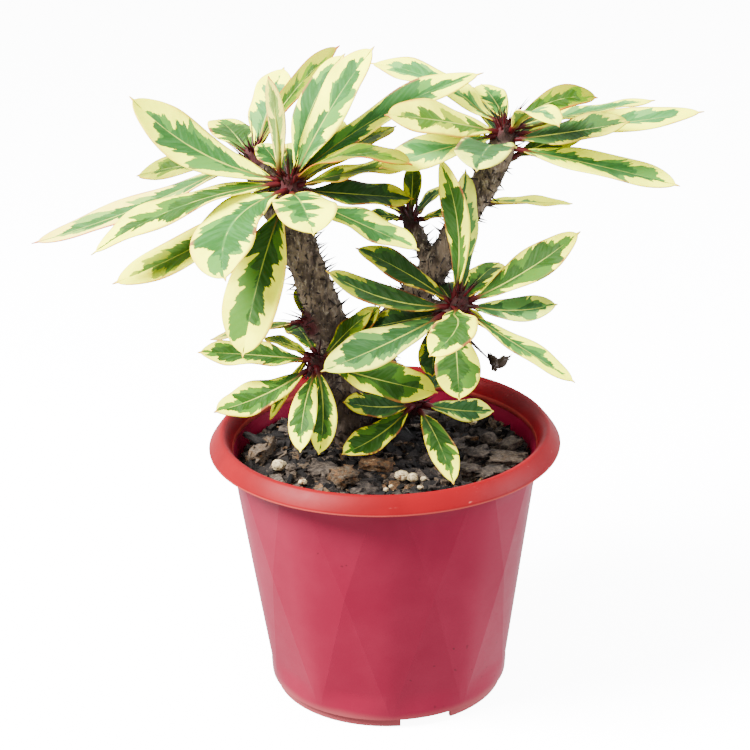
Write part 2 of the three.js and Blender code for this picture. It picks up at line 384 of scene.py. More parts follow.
def wall_material(pot):
    material, tree, shader = new_material("red satin plastic", 0.36, specular_ior_level=0.1)
    place = object_place(tree)
    height = height_of(tree, place)
    cloud = grain(tree, place, 14, 4, 0.6)
    streak = grain(tree, object_place(tree, (60, 60, 5)), 1.0, 3)
    body = rgb(pot.wall_colour)
    pale = rgb(pot.wall_colour, 1.18, 0.004)
    tone = blend(tree, step(tree, cloud, 0.35, 0.75), body, pale)
    tone = blend(tree, times(tree, step(tree, streak, 0.5, 0.8), 0.25), tone, pale)
    dirt = step(tree, grain(tree, place, 260, 2, 0.4), 0.73, 0.78)
    where = step(tree, grain(tree, place, 18, 2), 0.5, 0.62)
    dirt = times(tree, dirt, where)
    tone = blend(tree, times(tree, dirt, 0.6), tone, shade(0x2c1214))
    dust_edge = plus(tree, height, times(tree, cloud, 0.008))
    dust = compute(tree, "SUBTRACT", 1.0, step(tree, dust_edge, *DUST))
    tone = blend(tree, times(tree, dust, 0.45), tone, shade(0x8c4c48))
    paint(tree, shader, tone)
    scuffs = grain(tree, place, 90, 4, 0.7)
    vary_roughness(tree, shader, scuffs, 0.3, 0.46)
    bump(tree, shader, scuffs, 0.0001, 0.5)
    return material


def rim_material(pot):
    material, tree, shader = new_material("bright red plastic", 0.45, specular_ior_level=0.07)
    place = object_place(tree)
    cloud = grain(tree, place, 22, 4, 0.6)
    body = rgb(pot.rim_colour)
    deep = rgb(pot.rim_colour, 0.72)
    tone = blend(tree, step(tree, cloud, 0.35, 0.75), body, deep)
    scratches = grain(tree, object_place(tree, (30, 90, 260)), 1.4, 4, 0.75)
    scuff = times(tree, step(tree, scratches, 0.66, 0.75), 0.4)
    tone = blend(tree, scuff, tone, shade(0xb06058))
    height = height_of(tree, place)
    # painted highlight: the rim's lower lip is painted paler, as where it catches the light
    lip_highlight = step(tree, height, *RIM_LIP_HIGHLIGHT)
    tone = blend(tree, times(tree, lip_highlight, 0.5), tone, shade(0xb04c44))
    paint(tree, shader, tone)
    fine = grain(tree, place, 120, 3, 0.7)
    vary_roughness(tree, shader, fine, 0.36, 0.54)
    bump(tree, shader, fine, 0.0001, 0.4)
    return material


class EUPHORBIA_OT_pot(bpy.types.Operator):
    """Faceted wall, rolled rim, drilled floor and slotted foot"""

    bl_idname = "euphorbia.pot"
    bl_label = "Pot"

    def execute(self, context):
        pot = context.scene.euphorbia_pot
        wall_finish = wall_material(pot)
        wall = finished("pot_wall", faceted_wall(pot), [wall_finish], smooth=True)
        shell = wall.modifiers.new("thickness", "SOLIDIFY")
        shell.thickness = WALL_THICKNESS * MM
        shell.offset = -1
        applied(wall)
        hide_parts("pot")

        bm = bmesh.new()
        spun(bm, RIM_OUTLINE)
        finished("pot_rim", bm, [rim_material(pot)], smooth=True)

        bm = bmesh.new()
        spun(bm, BASE_OUTLINE)
        bmesh.ops.remove_doubles(bm, verts=bm.verts, dist=0.001)
        base = finished("pot_base", bm, [wall_finish])
        bm = bmesh.new()
        for k in range(DRAINS):
            turn = Matrix.Rotation(math.tau * k / DRAINS, 4, "Z")
            spot = turn @ Matrix.Translation((DRAIN_CIRCLE, 0, 7))
            bmesh.ops.create_cone(
                bm, cap_ends=True, segments=32, radius1=DRAIN_RADIUS, radius2=DRAIN_RADIUS,
                depth=12, matrix=spot,
            )
        drill = finished("drill", bm, [])
        cut = base.modifiers.new("drain holes", "BOOLEAN")
        cut.object = drill
        cut.operation = "DIFFERENCE"
        applied(base)
        bpy.data.objects.remove(drill)

        bm = bmesh.new()
        inner, outer, top = FOOT
        half_notch = math.asin(NOTCH_WIDTH / 2 / outer)
        sweep = math.tau / len(NOTCH_ANGLES) - 2 * half_notch
        outline = ((inner, 0), (outer, 0), (outer + 0.3, top), (inner, top))
        for notch in NOTCH_ANGLES:
            spun(bm, outline, math.radians(notch) + half_notch, sweep, 48)
        edges = [e for e in bm.edges if e.calc_face_angle(0) > 0.6]
        bmesh.ops.bevel(
            bm, geom=edges, offset=0.35, segments=2, profile=0.5, affect="EDGES", material=-1,
        )
        finished("pot_foot", bm, [wall_finish])
        return {"FINISHED"}


# ------------------------------------------------------------------ potting mix
# Large chips: place across and back, height over the mix, length, width, thickness, turn in
# degrees and tone.
FEATURE_CHIPS = (
    (-5, -18, 3, 17, 10, 3, -14, 0.88),
    (-23, -34, 3, 13, 12, 7, 35, 0.84),
    (52, -8, 3, 15, 10, 5, 14, 0.62),
    (70, -14, 3, 20, 12, 4, -8, 0.72),
    (61, -31, 2, 19, 14, 4, 25, 0.60),
    (72, 6, 3, 14, 9, 4, 50, 0.66),
    (44, -24, 2, 15, 9, 4, -35, 0.68),
    (-36, -25, 3, 15, 11, 5, -30, 0.64),
    (-70, 4, 3, 28, 8, 7, 72, 0.80),
    (-23, 22, 2, 32, 3, 2, 8, 0.86),
    (-75, 15, 6, 17, 3, 3, -50, 0.25),
    (36, 2, 2, 20, 12, 4, 40, 0.58),
    (-48, 34, 2, 22, 12, 4, -25, 0.6),
    (30, 60, 2, 24, 13, 4, 20, 0.66),
    (-12, -50, 1, 16, 12, 4, 60, 0.55),
)
# Pebbles and specks: place across and back, radius and tone.
PEBBLES = (
    (-60, -17, 4.2, 1.0), (9, -35, 4.0, 1.0), (15, -37, 3.2, 1.0), (-46, -39, 2.4, 0.97),
    (-53, -20, 3.2, 0.70), (3, -47, 1.4, 1.0), (19, -49, 1.7, 1.0), (0, -51, 1.5, 1.0),
    (60, 13, 5.0, 0.62), (21, -38, 1.8, 1.0), (-30, 50, 3.0, 1.0), (52, 40, 2.6, 1.0),
)


def stem_footprints():
    """Centres and radii of the stems where they leave the mix."""
    prints = []
    for name in CAD_STEMS:
        cut = [
            (v.co - POT_AXIS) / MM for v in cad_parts[name].data.vertices
            if abs(v.co.z / MM - MIX_LEVEL) < 16
        ]
        centre = sum(cut, Vector()) / len(cut)
        prints.append((centre, max((p.xy - centre.xy).length for p in cut)))
    return prints


BED_DEPTH, CHIP_DEPTH = 4.5, 3.6  # of the bed and of its chips under the mix's level
SWELL, SWELL_WIDTH = 2.6, 22  # height and width of the mix's humps
CHIP_LENGTHS = (0.3, 0.4, 0.5, 0.65, 0.85, 1.1, 1.6)  # shares of a middling chip's length


def swell_at(point):
    return SWELL * noise.fractal(point / SWELL_WIDTH, 1.0, 2.0, 3)


def add_chip(bm, tones, rng, matrix, size, tone, cuts=0):
    """A split chip: a block with jittered corners."""
    count = len(bm.verts)
    made = bmesh.ops.create_cube(bm, size=1.0)["verts"]
    if cuts:
        edges = list(dict.fromkeys(e for v in made for e in v.link_edges))
        bmesh.ops.subdivide_edges(bm, edges=edges, cuts=cuts, use_grid_fill=True)
        bm.verts.ensure_lookup_table()
        made = bm.verts[count:]
    for vert in made:
        corner = Vector((vert.co.x * size[0], vert.co.y * size[1], vert.co.z * size[2]))
        corner.x *= 1 - 0.35 * abs(vert.co.y) * rng.random()
        jitter = Vector((rng.uniform(-1, 1), rng.uniform(-1, 1), rng.uniform(-1, 1)))
        corner += 0.16 * Vector([j * s for j, s in zip(jitter, size)])
        vert.co = matrix @ corner
        vert[tones] = tone


def mix_material(mix):
    material, tree, shader = new_material("bark mix", 0.85, specular_ior_level=0.2)
    place = object_place(tree)
    tone = attribute(tree, "tone")
    cloud = grain(tree, place, 330, 5, 0.7)
    fibre = grain(tree, object_place(tree, (1, 3.5, 3.5)), 420, 4, 0.75)
    value = plus(tree, tone, times(tree, compute(tree, "SUBTRACT", cloud, 0.5), 0.6))
    ramp = add_node(tree, "ShaderNodeValToRGB", {"Fac": value})
    stops = (
        (0.0, shade(0x0c0a09)), (0.3, rgb(mix.dark_colour)), (0.55, shade(0x2f2721)),
        (0.72, rgb(mix.pale_colour)), (0.84, shade(0x50402c)), (0.93, shade(0x6a4526)),
        (0.99, shade(0xcbb98e)),
    )
    elements = ramp.color_ramp.elements
    elements[0].position, elements[0].color = stops[0]
    elements[1].position, elements[1].color = stops[-1]
    for position, value_colour in stops[1:-1]:
        elements.new(position).color = value_colour
    dark = times(tree, step(tree, fibre, 0.44, 0.58), 0.85)
    shaded = blend(tree, dark, ramp.outputs["Color"], shade(0x6c6054), "MULTIPLY")
    tree.links.new(shaded, shader.inputs["Base Color"])
    bump(tree, shader, plus(tree, cloud, fibre), 0.0009, 0.9)
    return material


class EUPHORBIA_OT_potting_mix(bpy.types.Operator):
    """Bark chips, pebbles and a twig on a dark bed"""

    bl_idname = "euphorbia.potting_mix"
    bl_label = "Potting mix"

    def execute(self, context):
        mix = context.scene.euphorbia_mix
        rng = random.Random(7)
        material = mix_material(mix)
        bm, tones = marked_mesh("tone")
        bmesh.ops.create_grid(bm, x_segments=90, y_segments=90, size=MIX_RADIUS)
        outside = [v for v in bm.verts if v.co.xy.length > MIX_RADIUS - 1]
        bmesh.ops.delete(bm, geom=outside, context="VERTS")
        for vert in bm.verts:
            vert.co.z = MIX_LEVEL - BED_DEPTH + swell_at(vert.co)
            vert[tones] = 0.12
        skirt = bmesh.ops.extrude_edge_only(bm, edges=[e for e in bm.edges if e.is_boundary])
        low = [g for g in skirt["geom"] if isinstance(g, bmesh.types.BMVert)]
        bmesh.ops.translate(bm, vec=(0, 0, -12), verts=low)
        bmesh.ops.scale(bm, vec=(0.95, 0.95, 1), verts=low)
        bmesh.ops.contextual_create(bm, geom=[e for e in bm.edges if e.is_boundary])
        bed = finished("potting_mix_bed", bm, [material], smooth=True)
        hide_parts("potting_mix")

        prints = stem_footprints()
        bm, tones = marked_mesh("tone")
        placed = 0
        while placed < mix.chips:
            radius = MIX_RADIUS * math.sqrt(rng.random())
            angle = rng.uniform(0, math.tau)
            spot = Vector((radius * math.cos(angle), radius * math.sin(angle), 0))
            if any((spot.xy - c.xy).length < r - 3 for c, r in prints):
                continue
            length = mix.chip_length * rng.choice(CHIP_LENGTHS)
            limit = MIX_RADIUS - 2.5 - length * 0.6
            if spot.xy.length > limit:
                spot *= limit / spot.xy.length
            spot.z = MIX_LEVEL - CHIP_DEPTH + swell_at(spot) + rng.uniform(-1.2, 1.6)
            size = (length, length * rng.uniform(0.35, 0.8), length * rng.uniform(0.14, 0.34))
            turn = (
                Matrix.Rotation(rng.uniform(0, math.tau), 4, "Z")
                @ Matrix.Rotation(rng.gauss(0, 0.42), 4, "X")
                @ Matrix.Rotation(rng.gauss(0, 0.38), 4, "Y")
            )
            tone = min(0.86, max(0.02, rng.gauss(0.44, 0.27)))
            add_chip(bm, tones, rng, Matrix.Translation(spot) @ turn, size, tone)
            placed += 1
        finished("bark_chips", bm, [material])

        bm, tones = marked_mesh("tone")
        for x, y, lift, length, width, thick, degrees, tone in FEATURE_CHIPS:
            turn = Matrix.Rotation(math.radians(degrees), 4, "Z")
            turn @= Matrix.Rotation(rng.uniform(-0.2, 0.2), 4, "X")
            spot = Matrix.Translation((x, y, MIX_LEVEL - 2 + lift))
            add_chip(bm, tones, rng, spot @ turn, (length, width, thick), tone, cuts=4)
        for x, y, radius, tone in PEBBLES:
            made = bmesh.ops.create_icosphere(bm, subdivisions=3, radius=radius)["verts"]
            for vert in made:
                lump = noise.noise(vert.co / radius * 1.4 + Vector((x, y, 0)))
                vert.co *= 1 + 0.22 * lump
                vert.co = Vector((vert.co.x, vert.co.y * 0.85, vert.co.z * 0.75))
                vert.co += Vector((x, y, MIX_LEVEL + radius * 0.3))
                vert[tones] = tone
        finished("pebbles_and_large_chips", bm, [material], smooth=True)
        return {"FINISHED"}


# ------------------------------------------------------------------ stems and thorns
DRIED_BUD = Vector((63.8, 6, 190))
YOUNG_SHOOT = Vector((14, 34, 276))
CROWN_REACH, TIP_REACH, NECK_REACH = 10, 9, 22  # how far a crown, its tip and its neck reach
BUSHY = ("left", "right", "middle", "back_left")  # crowns with many spines
MANY_SPINES, FEW_SPINES = 26, 14
YOUNG_REACH, YOUNG_BLEND = 13, 4  # red young growth ends this far from a crown, over this
THORN_RADIUS = 0.75
SPIRAL = 2.4  # angle from one spine of a crown to the next
BARK_VOXEL = 1.1
SEAT_HEIGHT, SEAT_WIDTH = 0.95, 1.7  # of the swelling under each thorn
RIDGE_HEIGHT, KNOB_HEIGHT = 1.1, 0.5


def add_dried_bud(bm, fades):
    """A shrivelled, pointed bud of three puckered lobes."""
    for turn, lean, length in ((0.3, 0.5, 11), (2.5, 0.9, 9), (4.4, 0.2, 7)):
        made = bmesh.ops.create_icosphere(bm, subdivisions=3, radius=1.0)["verts"]
        tilt = Matrix.Rotation(turn, 3, "Z") @ Matrix.Rotation(math.pi / 2 - lean, 3, "Y")
        for vert in made:
            pucker = 1 + 0.45 * noise.fractal(vert.co * 2.2 + Vector((turn, 0, 0)), 1, 2, 3)
            narrow = 1 - 0.5 * max(0, vert.co.z)
            x, y = vert.co.x * narrow * 2.9, vert.co.y * narrow * 0.7 * 2.9
            lobe = Vector((x, y, (vert.co.z + 0.7) * length / 2)) * pucker
            vert.co = DRIED_BUD + tilt @ lobe
            vert[fades] = 0.3


class Crown:
    """The tip of a shoot: where its leaves sit, and which way it grows."""

    def __init__(self, stem, near, solid_verts):
        close = [p for p in solid_verts if (p - near).length < CROWN_REACH]
        self.stem = stem
        self.top = max(close, key=lambda p: p.z)
        around = [p for p in solid_verts if (p - self.top).length < TIP_REACH]
        self.top = sum(around, Vector()) / len(around)
        below = [p for p in solid_verts if TIP_REACH < (p - self.top).length < NECK_REACH]
        middle = sum(below, Vector()) / len(below)
        self.axis = (self.top - middle).normalized()


def solid_points(node):
    return [(v.co - POT_AXIS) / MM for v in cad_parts[node].data.vertices]


def find_crowns(spines):
    """Crowns by name, from where their leaves start on the stems' solids."""
    solids = {name: solid_points(name) for name in CAD_STEMS}
    bases = {}
    for leaf, spine in spines.items():
        bases.setdefault(leaf.rsplit("_leaf_", 1)[0], []).append(spine.centres[0])
    del bases["right_stem"]  # a lone leaf on old wood, with no crown
    bases["young"] = [YOUNG_SHOOT]
    crowns = {}
    for name, points in bases.items():
        near = sum(points, Vector()) / len(points)
        stem = min(solids, key=lambda s: min((p - near).length for p in solids[s]))
        crowns[name] = Crown(stem, near, solids[stem])
    return crowns


def stem_surface(name):
    """A fine, even copy of a stem's solid."""
    bm = bmesh.new()
    bm.from_mesh(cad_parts[name].data)
    bmesh.ops.remove_doubles(bm, verts=bm.verts, dist=0.00001)
    bmesh.ops.subdivide_edges(bm, edges=bm.edges, cuts=1, use_grid_fill=True)
    soften(bm, bm.verts, 2)
    piece = finished(name + "_wood", bm, [], outward=False, settle=False)
    skin = piece.modifiers.new("even mesh", "REMESH")
    skin.mode = "VOXEL"
    skin.voxel_size = BARK_VOXEL * MM
    return applied(piece)


def thorn_seats(piece, spacing, rng):
    """Seeded places on a stem, no two closer than spacing: (point, normal) pairs."""
    verts = list(piece.data.vertices)
    rng.shuffle(verts)
    seats = []
    for vert in verts:
        point = (vert.co - POT_AXIS) / MM
        if point.z < MIX_LEVEL + 2:
            continue
        if all((point - seat).length > spacing for seat, _ in seats):
            seats.append((point, vert.normal.copy()))
    return seats


def roughen(piece, seats, crowns):
    """Raises the thorns' seats and the bark's ridges, and marks the young growth."""
    tree = KDTree(len(seats))
    for index, (point, _) in enumerate(seats):
        tree.insert(point, index)
    tree.balance()
    bm = bmesh.new()
    bm.from_mesh(piece.data)
    young = bm.verts.layers.float.new("young")
    bm.normal_update()
    for vert in bm.verts:
        point = (vert.co - POT_AXIS) / MM
        distance = tree.find(point)[2]
        seat = SEAT_HEIGHT * math.exp(-((distance / SEAT_WIDTH) ** 2))
        drawn_out = Vector((point.x / 4, point.y / 4, point.z / 11))
        ridge = RIDGE_HEIGHT * noise.fractal(drawn_out, 0.8, 2, 4)
        knob = KNOB_HEIGHT * noise.noise(point / 9)
        vert.co += vert.normal * MM * (seat + ridge + knob)
        nearest = min((point - c.top).length for c in crowns)
        vert[young] = max(0.0, min(1.0, (YOUNG_REACH - nearest) / YOUNG_BLEND))
    smooth_faces(bm)
    bm.to_mesh(piece.data)
    bm.free()


def add_spine(bm, fades, root, direction, length, radius=THORN_RADIUS):
    """A thin thorn; its fade runs from 0 at the root to 1 at the point."""
    turn = direction.to_track_quat("Z", "Y").to_matrix().to_4x4()
    spot = Matrix.Translation(root + direction * length / 2) @ turn
    made = bmesh.ops.create_cone(
        bm, cap_ends=True, segments=6, radius1=radius, radius2=0.04, depth=length, matrix=spot,
    )["verts"]
    for vert in made:
        vert[fades] = 1.0 if (vert.co - root).length > length * 0.7 else 0.0


def bark_material(stem):
    material, tree, shader = new_material("thorny bark", 0.82, specular_ior_level=0.2)
    place = object_place(tree)
    long_grain = grain(tree, object_place(tree, (1, 1, 0.16)), 360, 5, 0.75)
    cloud = grain(tree, place, 75, 4, 0.6)
    fine = grain(tree, object_place(tree, (1, 1, 0.4)), 520, 4, 0.7)
    body = rgb(stem.bark_colour)
    tone = blend(tree, step(tree, cloud, 0.42, 0.58), body, shade(0x6e5e4e))
    crack = step(tree, long_grain, 0.5, 0.36)
    tone = blend(tree, crack, tone, shade(0x17110e))
    flake = times(tree, step(tree, fine, 0.54, 0.64), 0.7)
    tone = blend(tree, flake, tone, shade(0x8e8070))
    height = height_of(tree, place)
    # painted shade: the bark is darkened towards the mix, where the stems stand in shade
    shade_near_mix = step(tree, height, (MIX_LEVEL + 75) * MM, (MIX_LEVEL + 15) * MM)
    tone = blend(tree, times(tree, shade_near_mix, 0.75), tone, shade(0x1c1410))
    fresh = attribute(tree, "young")
    patches = step(tree, cloud, 0.4, 0.6)
    shoot = blend(tree, patches, rgb(stem.shoot_colour), shade(0x22120c))
    tone = blend(tree, fresh, tone, shoot)
    paint(tree, shader, tone)
    bump(tree, shader, plus(tree, long_grain, fine), 0.0010, 0.9)
    return material


def thorn_material(name, root, point):
    material, tree, shader = new_material(name, 0.5, specular_ior_level=0.15)
    fade = step(tree, attribute(tree, "fade"), 0.15, 0.9)
    tree.links.new(blend(tree, fade, root, point), shader.inputs["Base Color"])
    return material


def build_thorns(name, seats, stem, rng):
    bm, fades = marked_mesh("fade")
    for point, normal in seats:
        up = Vector((0, 0, rng.uniform(0.0, 0.5)))
        lean = Vector([rng.uniform(-0.3, 0.3) for _ in range(3)])
        direction = (normal + up + lean).normalized()
        add_spine(bm, fades, point, direction, stem.thorn_length * rng.uniform(0.55, 1.25))
    grey = thorn_material("grey thorn", shade(0x2c2420), shade(0x0c0a0b))
    finished(name + "_thorns", bm, [grey])


def build_crown_spines(crowns):
    bm, fades = marked_mesh("fade")
    rng = random.Random(3)
    for name in sorted(crowns):
        crown = crowns[name]
        side = crown.axis.orthogonal().normalized()
        for k in range(MANY_SPINES if name in BUSHY else FEW_SPINES):
            around = Matrix.Rotation(k * SPIRAL, 3, crown.axis) @ side
            lean = rng.uniform(0.1, 1.3)
            direction = (crown.axis + around * lean).normalized()
            root = crown.top - crown.axis * rng.uniform(-3, 9) + around * 2.2
            add_spine(bm, fades, root, direction, rng.uniform(9, 20))
    red = thorn_material("red spine", shade(0x38040a), shade(0x080405))
    finished("crown_spines", bm, [red])


def build_dried_bud():
    """The bud, on a twig from the nearest wood."""
    bm, fades = marked_mesh("fade")
    add_dried_bud(bm, fades)
    wood = min(solid_points("right_stem"), key=lambda p: (p - DRIED_BUD).length)
    twig = DRIED_BUD - wood
    add_spine(bm, fades, wood - twig * 0.1, twig.normalized(), twig.length * 1.15, 1.9)
    brown = thorn_material("dry brown", shade(0x30241a), shade(0x0c0806))
    finished("dried_bud", bm, [brown], smooth=True)


class EUPHORBIA_OT_stems(bpy.types.Operator):
    """Barked stems, their thorns and the red spines at the crowns"""

    bl_idname = "euphorbia.stems"
    bl_label = "Stems and thorns"

    def execute(self, context):
        stem = context.scene.euphorbia_stem
        crowns = find_crowns(cad_spines())
        bark = bark_material(stem)
        for name in CAD_STEMS:
            rng = random.Random(name)
            piece = stem_surface(name)
            seats = thorn_seats(piece, stem.thorn_spacing, rng)
            roughen(piece, seats, [c for c in crowns.values() if c.stem == name])
            piece.data.materials.append(bark)
            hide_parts(name)
            build_thorns(name, seats, stem, rng)
        build_crown_spines(crowns)
        build_dried_bud()
        return {"FINISHED"}


# ------------------------------------------------------------------ leaves
ACROSS, ALONG = 14, 40  # faces over a blade's width and length
WIDEST_AT = 0.62
PETIOLE_HALF_WIDTH = 1.2
PETIOLE_END = 0.84  # share of the length where the midrib's ridge runs out
PETIOLE_SHARES = (-0.02, 0.0, 0.04, 0.09, 0.16, 0.28, 0.42, 0.58, 0.72, PETIOLE_END)
PETIOLE_ROOT = 3  # how far it goes into its stem
MUCRO_HALF_WIDTH = 0.8

# Each style: deep green, second green, margin, inner margin, blush; how far each green
# reaches from the midrib, as a share of the half width; how strong the blush is.
STYLES = {
    "cream": (0x244c1c, 0x46742c, 0xf8fa00, 0xe8ec00, 0xb8503a, 0.40, 0.58, 0.45),
    "pale": (0x30602a, 0x588840, 0xf8fa10, 0xecf000, 0xb8503a, 0.30, 0.46, 0.5),
    "bold": (0x203c0e, 0x3c601c, 0xf0f000, 0xdcdc00, 0xb04a30, 0.56, 0.72, 0.5),
    "dark": (0x1a3210, 0x2e4c1e, 0xb8b418, 0x7c8414, 0xa04020, 0.74, 0.86, 0.4),
    "grey": (0x22401c, 0x446a30, 0xdce040, 0xb0bc38, 0xa85840, 0.60, 0.80, 0.3),
    "yellow": (0x365410, 0x7c8c10, 0xf0f000, 0xd8d800, 0xb86020, 0.36, 0.50, 0.7),
    "lime": (0x1c3600, 0x3e5a00, 0x747600, 0x606600, 0x983c06, 0.42, 0.58, 0.8),
    "olive": (0x243a08, 0x465a0c, 0x9ca008, 0x787e08, 0x8a3c18, 0.62, 0.80, 0.6),
    "blush": (0x2c5020, 0x6a8a38, 0xecdc50, 0xdccc40, 0xb86048, 0.46, 0.62, 1.0),
}


class Spine:
    """A leaf's line: centres from petiole to tip, across and up directions, and its width."""

    def __init__(self, centres, across, up_sign, width):
        self.centres = centres
        self.width = width
        lengths = [0.0]
        for a, b in zip(centres, centres[1:]):
            lengths.append(lengths[-1] + (b - a).length)
        self.length = lengths[-1]
        self.stations = [value / self.length for value in lengths]
        self.across = across
        self.up_sign = up_sign

    def at(self, t):
        """Centre, across and up directions at a share t of the length."""
        k = 0
        while k < len(self.stations) - 2 and t > self.stations[k + 1]:
            k += 1
        span = self.stations[k + 1] - self.stations[k]
        u = (t - self.stations[k]) / span
        a, b = self.centres[k], self.centres[k + 1]
        slope_a, slope_b = self.slope(k) * span, self.slope(k + 1) * span
        u2, u3 = u * u, u * u * u
        centre = (
            a * (2 * u3 - 3 * u2 + 1) + slope_a * (u3 - 2 * u2 + u)
            + b * (3 * u2 - 2 * u3) + slope_b * (u3 - u2)
        )
        across = self.across[k].lerp(self.across[k + 1], u).normalized()
        tangent = self.slope(k).lerp(self.slope(k + 1), u).normalized()
        up = across.cross(tangent).normalized() * self.up_sign
        return centre, across, up

    def slope(self, k):
        low, high = max(k - 1, 0), min(k + 1, len(self.centres) - 1)
        step_length = self.stations[high] - self.stations[low]
        return (self.centres[high] - self.centres[low]) / step_length


def read_spine(node):
    """Follows a leaf's solid ring by ring from its petiole to its tip."""
    bm = bmesh.new()
    bm.from_mesh(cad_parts[node].data)
    bmesh.ops.remove_doubles(bm, verts=bm.verts, dist=0.000002)
    verts = list(bm.verts)
    points = {v: (v.co - POT_AXIS) / MM for v in verts}
    ends = max(
        ((a, b) for a in verts for b in verts), key=lambda p: (points[p[0]] - points[p[1]]).length
    )
    rings = walk_rings(ends[0])
    widths = [spread([points[v] for v in ring]) for ring in rings]
    if widths.index(max(widths)) < len(rings) / 2:
        rings = walk_rings(ends[1])
        widths.reverse()
    widest = widths.index(max(widths))
    across = {}
    direction = None
    for k in [*range(widest, len(rings) - 1), *range(widest - 1, 0, -1)]:
        if k == widest - 1:
            direction = across[widest][0]
        across[k] = margin_pair([points[v] for v in rings[k]], direction)
        direction = across[k][0]
    across[0] = across[1]
    across[len(rings) - 1] = across[len(rings) - 2]
    centres = [points[rings[0][0]]]
    centres += [across[k][1] for k in range(1, len(rings) - 1)]
    centres.append(points[rings[-1][0]])
    directions = [across[k][0] for k in range(len(rings))]
    tangent = centres[widest + 1] - centres[widest - 1]
    lift = across[widest][2] - across[widest][1]
    up_sign = 1 if directions[widest].cross(tangent).dot(lift) > 0 else -1
    bm.free()
    return Spine(centres, directions, up_sign, max(widths))


def walk_rings(start):
    rings = [[start]]
    seen = {start}
    while rings[-1]:
        ring = {e.other_vert(v) for v in rings[-1] for e in v.link_edges} - seen
        seen |= ring
        rings.append(sorted(ring, key=lambda v: v.index))
    return rings[:-1]


def spread(points):
    return max((a - b).length for a in points for b in points)


def margin_pair(points, direction):
    """Across direction, midrib centre and margins' middle of one ring of a leaf's solid."""
    pairs = [(a, b) for a in points for b in points if a is not b]
    if direction is None:
        a, b = max(pairs, key=lambda p: (p[0] - p[1]).length)
    else:
        a, b = max(pairs, key=lambda p: (p[0] - p[1]).normalized().dot(direction))
    rest = [p for p in points if p is not a and p is not b]
    return (a - b).normalized(), sum(rest, Vector()) / len(rest), (a + b) / 2


def cad_spines():
    return {n: read_spine(n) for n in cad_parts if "_leaf_" in n}


def grown_spine(crown, drop, azimuth, rise, length, width, arch, roll):
    """The line of a leaf with no solid of its own; arch is a share of the length."""
    flat = Vector((math.cos(math.radians(azimuth)), math.sin(math.radians(azimuth)), 0))
    rise = math.radians(rise)
    ahead = flat * math.cos(rise) + Vector((0, 0, math.sin(rise)))
    side = Vector((-flat.y, flat.x, 0))
    side = Matrix.Rotation(math.radians(roll), 3, ahead) @ side
    up = ahead.cross(side)
    base = crown.top - crown.axis * drop + flat * min(3.5 + 0.4 * drop, 8.5)
    centres = [
        base + ahead * length * k / 8 + up * length * arch * math.sin(math.pi * k / 8)
        for k in range(9)
    ]
    return Spine(centres, [side] * 9, -1, width)


def outline(t):
    """Share of the half width at a share t of the length."""
    t = min(t / 0.97, 1.0)
    tip_power = 1.05 * (1 - WIDEST_AT) / WIDEST_AT
    return (t / WIDEST_AT) ** 1.05 * ((1 - t) / (1 - WIDEST_AT)) ** tip_power


def blade(spine, leaf, rng, reach):
    """A wavy blade on its spine, as a bent grid; UV u runs across it and v along it."""
    bm = bmesh.new()
    seeds = bm.verts.layers.float.new("seed")
    reaches = bm.verts.layers.float.new("reach")
    seed = rng.uniform(0, 50)
    phase = [rng.uniform(0, math.tau) for _ in range(2)]
    turns = rng.uniform(1.2, 2.4)
    lift = leaf.waviness * rng.uniform(0.5, 1.5)
    uv = bm.loops.layers.uv.new("UVMap")
    bmesh.ops.create_grid(bm, x_segments=ACROSS, y_segments=ALONG, size=1.0)
    for face in bm.faces:
        face.smooth = True
        for loop in face.loops:
            loop[uv].uv = ((loop.vert.co.x + 1) / 2, blade_share(loop.vert.co.y))
    for vert in bm.verts:
        s, t = vert.co.x, blade_share(vert.co.y)
        centre, across, up = spine.at(t)
        half = max(spine.width / 2 * outline(t), MUCRO_HALF_WIDTH * min(1, (1 - t) / 0.03))
        if t < 0.3:
            half = max(half, PETIOLE_HALF_WIDTH)
        wave = math.sin(turns * math.tau * t + phase[0 if s < 0 else 1])
        height = half * abs(s) * math.tan(leaf.fold) * (1 - 0.35 * abs(s))
        height += spine.width * lift * wave * s * s * min(1, 3 * t) * min(1, 4 * (1 - t))
        vert.co = centre + across * s * half * math.cos(leaf.fold) + up * height
        vert[seeds] = seed
        vert[reaches] = reach
    bmesh.ops.remove_doubles(bm, verts=bm.verts, dist=0.01)
    bm.normal_update()
    middle = spine.at(0.5)[2]
    if sum((f.normal.dot(middle) for f in bm.faces), 0.0) < 0:
        bmesh.ops.reverse_faces(bm, faces=bm.faces)
    return bm


def blade_share(y):
    """Rows of the grid, closer together towards the tip."""
    return 1 - (1 - (y + 1) / 2) ** 1.5


def stalk(spine):
    """A petiole that runs out under the blade as its midrib."""
    bm, fades = marked_mesh("fade")
    ring = bmesh.ops.create_circle(bm, cap_ends=True, segments=8, radius=1.0)["verts"]
    edges = list(bm.edges)
    rings = [ring]
    for _ in PETIOLE_SHARES[1:]:
        made = bmesh.ops.extrude_edge_only(bm, edges=edges)["geom"]
        ring = [g for g in made if isinstance(g, bmesh.types.BMVert)]
        edges = [
            g for g in made if isinstance(g, bmesh.types.BMEdge)
            and all(v in ring for v in g.verts)
        ]
        rings.append(ring)
    bmesh.ops.contextual_create(bm, geom=edges)
    for ring, share in zip(rings, PETIOLE_SHARES):
        run = max(share, 0)
        centre, across, up = spine.at(run)
        thick = 1.55 * (1 - min(1, run / PETIOLE_END)) ** 1.2 + 0.12
        drop = thick * 0.75 if share > 0.04 else 0
        if share < 0:
            centre = centre - spine.slope(0).normalized() * PETIOLE_ROOT
        for vert in ring:
            x, y = vert.co.x, vert.co.y
            vert.co = centre + across * x * thick + up * (y * thick - drop)
            vert[fades] = run / PETIOLE_END
    return bm


